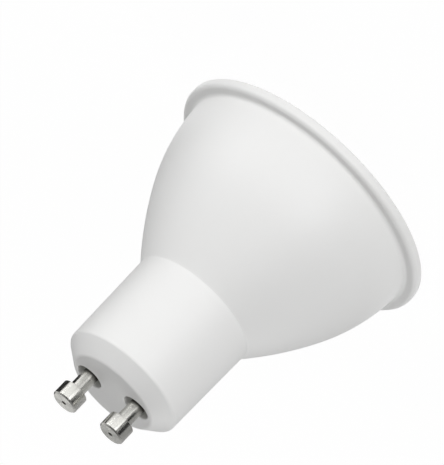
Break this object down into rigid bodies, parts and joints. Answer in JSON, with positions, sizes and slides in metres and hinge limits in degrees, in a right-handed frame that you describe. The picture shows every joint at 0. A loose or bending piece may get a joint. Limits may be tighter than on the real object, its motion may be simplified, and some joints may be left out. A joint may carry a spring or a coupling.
{
  "type": "gu10 spotlight bulb",
  "caption": "White bell-shaped mains spotlight bulb with a stepped rim, opal front cover and a twist-lock pin base.",
  "frame": {"origin": "centre of the rim's front plane, the surface the bulb stands on", "axes": "+Z along the bulb's axis from the front rim to the pins; the pins lie on the X axis"},
  "size_m": [0.05, 0.05, 0.0552],
  "materials": {
    "white_plastic": "white moulded plastic, smooth with a faint satin sheen",
    "opal_plastic": "opal diffuser plastic, frosted",
    "nickel_plate": "bright nickel plate on turned brass"
  },
  "bodies": {
    "root": {"housing": "white_plastic", "front_cover": "opal_plastic", "contact_pin_left": "nickel_plate", "contact_pin_right": "nickel_plate"}
  },
  "joints": []
}
